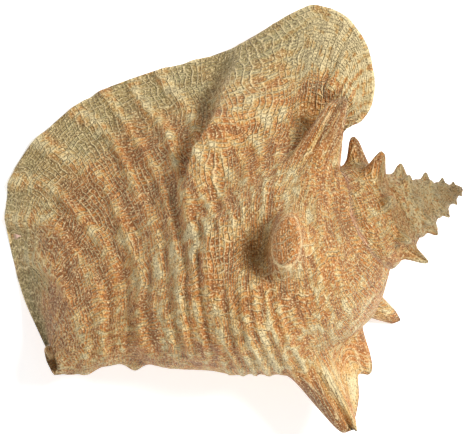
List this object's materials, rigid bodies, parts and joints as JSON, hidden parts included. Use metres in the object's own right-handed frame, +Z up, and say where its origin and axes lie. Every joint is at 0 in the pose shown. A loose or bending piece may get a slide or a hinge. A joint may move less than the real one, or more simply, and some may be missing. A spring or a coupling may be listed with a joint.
{
  "type": "conch shell",
  "caption": "Large spiral sea shell with a knobbed spire, blunt shoulder spines, a tall back spine and a broad flared lip over an open aperture.",
  "frame": {"origin": "middle of the shell's outline, on the surface it rests on", "axes": "+Z up with the back of the shell on top and the aperture down, +X to the apex's side, +Y to the top of the picture, where the lip's wing is"},
  "size_m": [0.2216, 0.2086, 0.1138],
  "materials": {
    "shell": "weathered satin shell"
  },
  "bodies": {
    "root": {"shell": "shell"}
  },
  "joints": []
}
